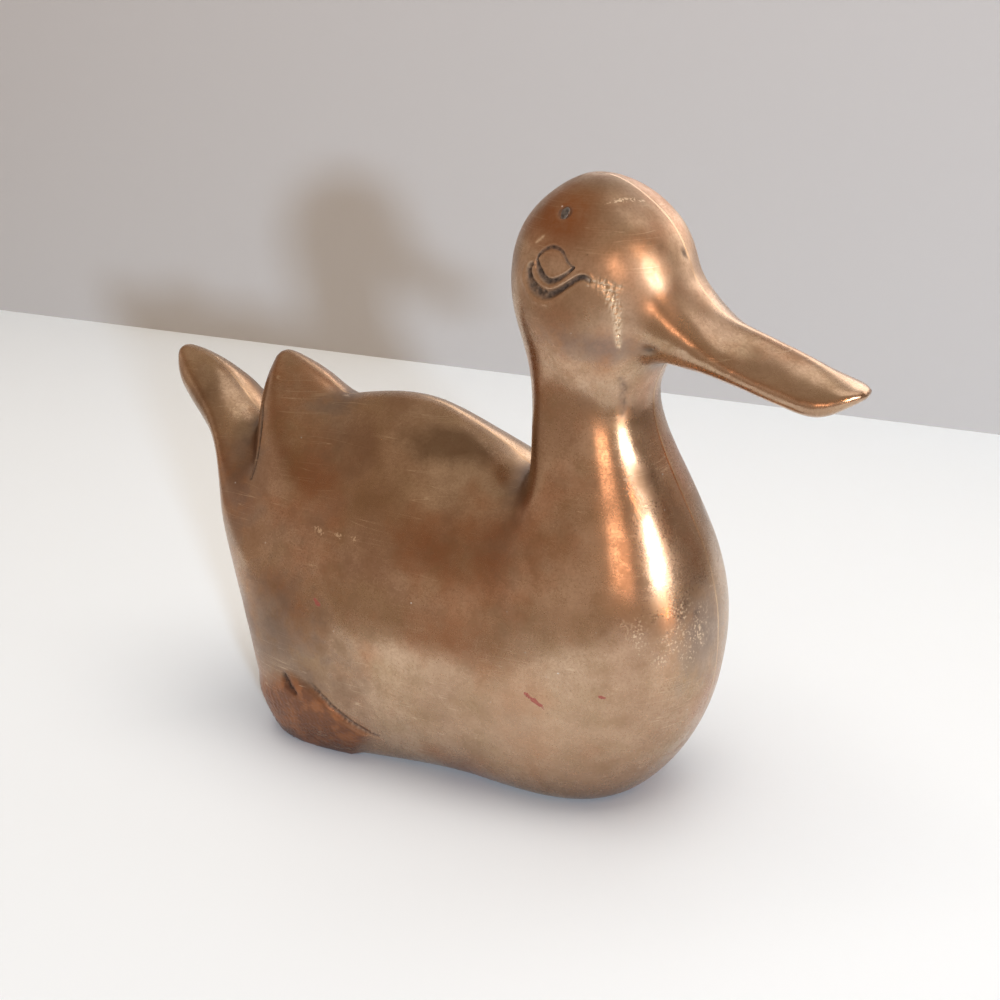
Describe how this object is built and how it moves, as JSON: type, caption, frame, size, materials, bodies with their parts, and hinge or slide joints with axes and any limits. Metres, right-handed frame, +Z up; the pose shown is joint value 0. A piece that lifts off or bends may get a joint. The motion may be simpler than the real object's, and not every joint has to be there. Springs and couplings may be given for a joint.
{
  "type": "brass duck figurine",
  "caption": "Standing duck ornament, a hollow brass casting brazed along its middle, with folded wing tips, low-relief feet and a flat ground base.",
  "frame": {"origin": "on the table, under the middle of the duck's length, on its middle plane", "axes": "+X forward to the bill, +Y to the duck's left, +Z up from the ground base"},
  "size_m": [0.1504, 0.0538, 0.1208],
  "materials": {
    "cast_brass": "polished cast brass with a brown patina",
    "braze": "brazing brass, filed flush and polished",
    "plug_metal": "dull grey solder-like metal, filed flush"
  },
  "bodies": {
    "root": {"left_half_casting": "cast_brass", "right_half_casting": "cast_brass", "seam_braze": "braze", "head_plug": "plug_metal"}
  },
  "joints": []
}
